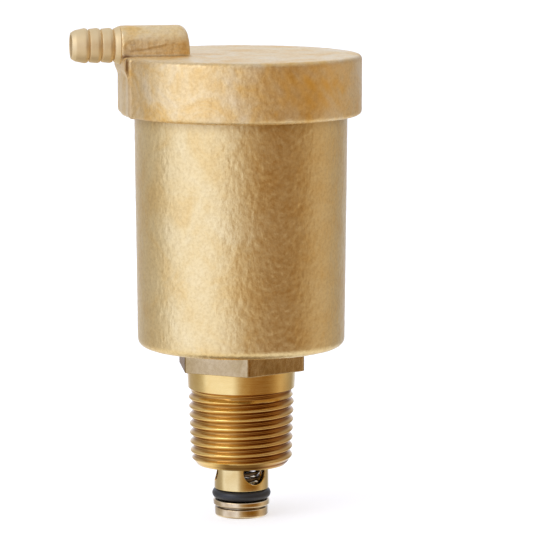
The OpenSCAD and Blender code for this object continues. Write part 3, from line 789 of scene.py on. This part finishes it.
def tube_with_ports():
    """The sleeve's wall in one panel for each port: quads run from the port's edge to the panel's edge."""
    verts, faces = [], []
    side = 16                                          # quads along a panel's edge
    span = math.pi / PORTS                             # half a panel's width
    low, high = SLEEVE_LOW.z + 0.95, PORT_Z + 3.6      # the panels' lower and upper edges
    lip = 0.12                                         # chamfer of the ports
    steps = [-1 + 2 * k / side for k in range(side)]
    edge = [(u, -1) for u in steps] + [(1, u) for u in steps]
    edge += [(-u, 1) for u in steps] + [(-1, -u) for u in steps]
    count = len(edge)
    for port in range(PORTS):
        face_turn = math.radians(PORT_TURN) + port * 2 * span

        def ring_at(radius, t, port_r):
            """Points between the port's circle, t = 0, and the panel's outline, t = 1."""
            out = []
            for u, v in edge:
                rim_a, rim_z = u * span, (low + high) / 2 + v * (high - low) / 2
                flat = math.atan2((rim_z - PORT_Z), rim_a * radius)
                y, z = port_r * math.cos(flat), PORT_Z + port_r * math.sin(flat)
                a = math.asin(y / radius)
                turned = face_turn + a + (rim_a - a) * t
                out.append((radius * math.cos(turned), radius * math.sin(turned), z + (rim_z - z) * t))
            return out

        rings = [ring_at(SLEEVE_R, t, PORT_R + lip) for t in (1, 0.8, 0.6, 0.4, 0.25, 0.12, 0.04, 0)]
        rings.append(ring_at(SLEEVE_R - lip, 0, PORT_R))
        rings.append(ring_at(SLEEVE_BORE_R + lip, 0, PORT_R))
        rings += [ring_at(SLEEVE_BORE_R, t, PORT_R + lip) for t in (0, 0.1, 0.4, 0.7, 1)]
        start = len(verts)
        for ring_points in rings:
            verts += ring_points
        for i in range(len(rings) - 1):
            a, b = start + i * count, start + (i + 1) * count
            faces += [(a + j, a + (j + 1) % count, b + (j + 1) % count, b + j) for j in range(count)]
    # plain walls above and below, on the panels' own columns
    columns = PORTS * side
    turn = [math.radians(PORT_TURN) - span + 2 * math.pi * j / columns for j in range(columns)]

    def wall(path):
        start = len(verts)
        for r, z in path:
            verts.extend((r * math.cos(a), r * math.sin(a), z) for a in turn)
        faces.extend(tuple(start + v for v in f) for f in grid_faces(len(path), columns, False))

    foot, floor_top = SLEEVE_LOW.z, SLEEVE_LOW.z + 1.2
    under = fillet([(SLEEVE_R, low - 0.01, 0), (SLEEVE_R, foot, 0.12), (SOCKET_R, foot, 0)], 3)
    wall([(SLEEVE_R, low), *under, (SOCKET_R, floor_top), (SLEEVE_BORE_R - 0.5, floor_top),
          (SLEEVE_BORE_R, low)])
    shoulder = SLEEVE_HIGH.z - COLLAR_H
    wall([(SLEEVE_R, high), (SLEEVE_R, shoulder), (COLLAR_R, shoulder), (COLLAR_R, SLEEVE_HIGH.z),
          (SLEEVE_BORE_R, SLEEVE_HIGH.z), (SLEEVE_BORE_R, high)])
    return build("shutoff_sleeve", points(verts), faces, [NOSE_BRASS], sharp=35)


sleeve = tube_with_ports()
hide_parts("shutoff_plunger")
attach(sleeve, "sleeve")


def make_retainer():
    """The turned end piece: O-ring seat, rounded lip, dark gap and end ring with a screwdriver slot."""
    end_r, gap_r, lip_r, seat_r = 5.4, 4.8, 5.7, 3.85
    low, top = NOSE_LOW.z, SLEEVE_LOW.z
    end_top, lip_low, lip_top = low + 1.75, low + 2.26, low + 3.35
    piece = lathe("nose_retainer", [
        (0.001, low, 0), (end_r, low, 0.42), (end_r, end_top, 0.2), (gap_r, end_top + 0.02, 0.02),
        (gap_r, lip_low - 0.02, 0.02), (lip_r, lip_low, 0.2), (lip_r, lip_top, 0.3), (seat_r, lip_top, 0.05),
        (seat_r, top, 0), (SOCKET_R, top, 0), (SOCKET_R, top + 1.6, 0.15), (0.001, top + 1.6, 0)],
        144, [END_BRASS], 1.5)
    co = np.array([v.co for v in piece.data.vertices]) / MM
    # painted shade in the gap between the end ring and the lip
    gap = (np.hypot(co[:, 0], co[:, 1]) < end_r + 0.05) & (np.abs(co[:, 2] - low - 2.0) < 0.26)
    shade_and_stain = piece.data.attributes.new("shade_and_stain", "FLOAT", "POINT")
    shade_and_stain.data.foreach_set("value", np.where(gap, 0.6, 0.0))
    slot = prism("slot", [(-3.0, -0.5), (3.0, -0.5), (3.0, 0.5), (-3.0, 0.5)], low - 1, low + 0.9, "z")
    cut([piece], slot)
    piece.data.shade_smooth()
    piece.data.set_sharp_from_angle(angle=math.radians(40))
    return piece


retainer = make_retainer()
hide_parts("plunger_retainer")
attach(retainer, "sleeve")


def make_o_ring():
    """The rubber ring, with the faint flash line that moulding leaves round its outside."""
    wire = (RING_HIGH.z - RING_LOW.z) / 2
    centre_r = RING_HIGH.x - wire
    centre_z = (RING_HIGH.z + RING_LOW.z) / 2
    sides, cols = 40, 160
    turn = np.linspace(0, 2 * math.pi, cols, endpoint=False)
    verts = []
    for k in range(sides):
        a = 2 * math.pi * k / sides
        flash = 0.012 * bell(math.sin(a), 0.12)
        r = centre_r + (wire - 0.02 + flash) * math.cos(a)
        z = centre_z + (wire - 0.02) * math.sin(a)
        verts += [(r * math.cos(t), r * math.sin(t), z) for t in turn]
    return build("o_ring", points(verts), grid_faces(sides, cols, True), [RUBBER], sharp=80)


o_ring = make_o_ring()
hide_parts("shutoff_o_ring")
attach(o_ring, "sleeve")


def make_spring():
    """The sleeve's round-wire spring with a closed, ground turn at each end."""
    wire, mean_r, turns = 0.4, 3.4, 18         # the wire by its radius
    phase = 2.2                                # where round the axis the lowest turn starts
    low, high = SPRING_LOW.z + wire, SPRING_HIGH.z - wire
    closed = 2 * wire * 1.02
    steps, sides = 36, 14
    count = int(turns * steps)
    rings = []
    for i in range(count + 1):
        t = i / steps
        z = (low + closed * min(t, 1) + (high - low - 2 * closed) * min(1, max(0, (t - 1) / (turns - 2)))
             + closed * max(0, t - turns + 1))
        a = 2 * math.pi * t + phase
        for k in range(sides):
            b = 2 * math.pi * k / sides
            r = mean_r + wire * math.cos(b)
            top = np.clip(z + wire * math.sin(b), SPRING_LOW.z + 0.02, SPRING_HIGH.z - 0.02)
            rings.append((r * math.cos(a), r * math.sin(a), top))
    faces = grid_faces(count + 1, sides, False)
    faces.append(tuple(reversed(range(sides))))
    faces.append(tuple(count * sides + k for k in range(sides)))
    return build("sleeve_spring", points(rings), faces, [SPRING_STEEL], sharp=60)


spring = make_spring()
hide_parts("shutoff_spring")
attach(spring, "housing")
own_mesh(spring)


# ---------------------------------------------------------------- mechanism inside

def dress(node, material, width):
    """Gives a CAD node its material and slightly rounded edges."""
    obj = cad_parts[node]
    obj.data.materials.clear()
    obj.data.materials.append(material)
    bevel = obj.modifiers.new("edge_rounding", "BEVEL")
    bevel.width = width * MM
    bevel.segments = 2
    bevel.limit_method = "ANGLE"
    bevel.angle_limit = math.radians(40)


# each node's material and how wide its edges are rounded
for name, material, width in (
        ("cap_gasket", RUBBER, 0.1),
        ("valve_seat", INNER_BRASS, 0.08),
        ("seat_gasket", FIBRE, 0.05),
        ("lever_bracket", STEEL, 0.1),
        ("lever_pivot_pin", STEEL, 0.08),
        ("pivot_pin_clip", STEEL, 0.04),
        ("valve_lever", BLACK_PLASTIC, 0.12),
        ("valve_seal", RUBBER, 0.08),
        ("float_shell", WHITE_PLASTIC, 0.15),
        ("float_lid", WHITE_PLASTIC, 0.15),
        ("float_clevis", STEEL, 0.1),
        ("float_pin", STEEL, 0.08),
        ("spring_bridge", INNER_BRASS, 0.1),
        ("bridge_snap_ring", STEEL, 0.05)):
    dress(name, material, width)


# ---------------------------------------------------------------- stage, lights and camera

# the reference view, in degrees and metres
VIEW_AZIMUTH = -10.5
VIEW_ELEVATION = 8.1
VIEW_DISTANCE = 0.690
VIEW_HEIGHT = 0.01975       # the point looked at, on the vent's axis
VIEW_SIDE = 0.0060          # and how far to the right of it
LENS = 228


def make_floor():
    """A wide, plain, matt white floor at the foot of the vent, faintly lit so that it stays white."""
    size = 6.0
    low = cad_low.z - 0.00002       # clear of the end ring, which would flicker with it
    mesh = bpy.data.meshes.new("floor")
    mesh.from_pydata([(-size, -size, low), (size, -size, low), (size, size, low), (-size, size, low)],
                     [], [(0, 1, 2, 3)])
    floor = bpy.data.objects.new("floor", mesh)
    bpy.context.scene.collection.objects.link(floor)
    floor.visible_glossy = False
    material, _, shader = new_material("floor_white", (0.9, 0.9, 0.9), 0.0, 0.9)
    shader.inputs["Specular IOR Level"].default_value = 0.0
    shader.inputs["Emission Color"].default_value = (1, 1, 1, 1)
    shader.inputs["Emission Strength"].default_value = 0.42
    mesh.materials.append(material)


# the studio's colours at eye level, by their angle from the camera's side, positive to the right
SURROUNDINGS = [
    (-180, (0.92, 0.98, 1.16)),     # white behind
    (-163, (0.92, 0.96, 1.12)),
    (-145, (0.54, 0.52, 0.53)),     # grey at the left
    (-110, (0.48, 0.45, 0.42)),
    (-92, (0.62, 0.60, 0.60)),
    (-80, (1.06, 1.12, 1.38)),      # wide white box at the front left
    (-18, (1.06, 1.12, 1.38)),
    (-4, (0.58, 0.48, 0.38)),
    (10, (0.42, 0.27, 0.11)),       # warm dark gap at the front right
    (26, (0.30, 0.15, 0.03)),
    (54, (0.24, 0.11, 0.01)),
    (68, (0.32, 0.18, 0.06)),
    (80, (0.48, 0.34, 0.19)),
    (94, (0.68, 0.55, 0.41)),       # pale at the right
    (116, (0.50, 0.42, 0.34)),
    (138, (0.38, 0.35, 0.32)),
    (158, (0.74, 0.78, 0.90)),
    (180, (0.92, 0.98, 1.16))]

# what it fades to above and below: start and end of the fade by the sine of the elevation, share, colour
FADES = (
    (0.2, 0.75, 0.85, (0.80, 0.84, 0.96)),      # ceiling
    (-0.28, -0.6, 1, (1.04, 1.02, 1.00)),       # lit floor
    (-0.8, -0.95, 1, (0.24, 0.18, 0.12)))       # shade right under the vent


def make_world():
    """A soft studio: a wide white box at the front left, a warm dark gap at the front right, white behind."""
    world = bpy.data.worlds.new("studio")
    bpy.context.scene.world = world
    world.use_nodes = True
    tree = world.node_tree
    coords = tree.nodes.new("ShaderNodeTexCoord")
    a = math.radians(VIEW_AZIMUTH)
    parts = []
    for axis in ((math.cos(a), math.sin(a), 0), (math.sin(a), -math.cos(a), 0), (0, 0, 1)):
        dot = tree.nodes.new("ShaderNodeVectorMath")
        dot.operation = "DOT_PRODUCT"
        dot.inputs[1].default_value = axis
        tree.links.new(coords.outputs["Generated"], dot.inputs[0])
        parts.append(dot.outputs["Value"])
    right, front, up = parts
    angle = tree.nodes.new("ShaderNodeMath")
    angle.operation = "ARCTAN2"
    tree.links.new(right, angle.inputs[0])
    tree.links.new(front, angle.inputs[1])
    around = spread(tree, angle.outputs["Value"], 0, 1, -math.pi, math.pi)
    colour = ramp(tree, around, [((place + 180) / 360, tone) for place, tone in SURROUNDINGS])
    for low, high, most, tone in FADES:
        colour = mix_node(tree, "MIX", spread(tree, up, 0, most, low, high), colour, tone)
    background = tree.nodes["Background"]
    tree.links.new(colour, background.inputs["Color"])
    background.inputs["Strength"].default_value = 1.0


def area_light(name, azimuth, elevation, distance, width, height, watts):
    """A soft box that faces the vent's middle, placed by its direction from there."""
    light = bpy.data.lights.new(name, "AREA")
    light.shape = "RECTANGLE"
    light.size, light.size_y = width, height
    light.energy = watts
    obj = bpy.data.objects.new(name, light)
    bpy.context.scene.collection.objects.link(obj)
    a, e = math.radians(azimuth), math.radians(elevation)
    middle = (cad_low + cad_high) / 2
    away = Vector((math.sin(a) * math.cos(e), -math.cos(a) * math.cos(e), math.sin(e)))
    obj.location = middle + away * distance
    obj.rotation_mode = "QUATERNION"
    obj.rotation_quaternion = away.to_track_quat("Z", "Y")


def make_camera():
    """The camera of the reference view: a long lens, a little left of the vent's front and above it."""
    a, e = math.radians(VIEW_AZIMUTH), math.radians(VIEW_ELEVATION)
    back = Vector((math.sin(a) * math.cos(e), -math.cos(a) * math.cos(e), math.sin(e)))
    right = Vector((math.cos(a), math.sin(a), 0))
    target = Vector((0, 0, VIEW_HEIGHT)) + right * VIEW_SIDE
    camera = bpy.data.cameras.new("camera")
    camera.lens = LENS
    camera.sensor_width = 36
    camera.clip_start, camera.clip_end = 0.01, 50
    obj = bpy.data.objects.new("camera", camera)
    bpy.context.scene.collection.objects.link(obj)
    obj.location = target + back * VIEW_DISTANCE
    obj.rotation_mode = "QUATERNION"
    obj.rotation_quaternion = back.to_track_quat("Z", "Y")
    bpy.context.scene.camera = obj


make_floor()
make_world()
area_light("key_softbox", VIEW_AZIMUTH - 50, 35, 1.2, 0.7, 0.7, 2.5)
make_camera()
bpy.context.scene.view_settings.view_transform = "Standard"
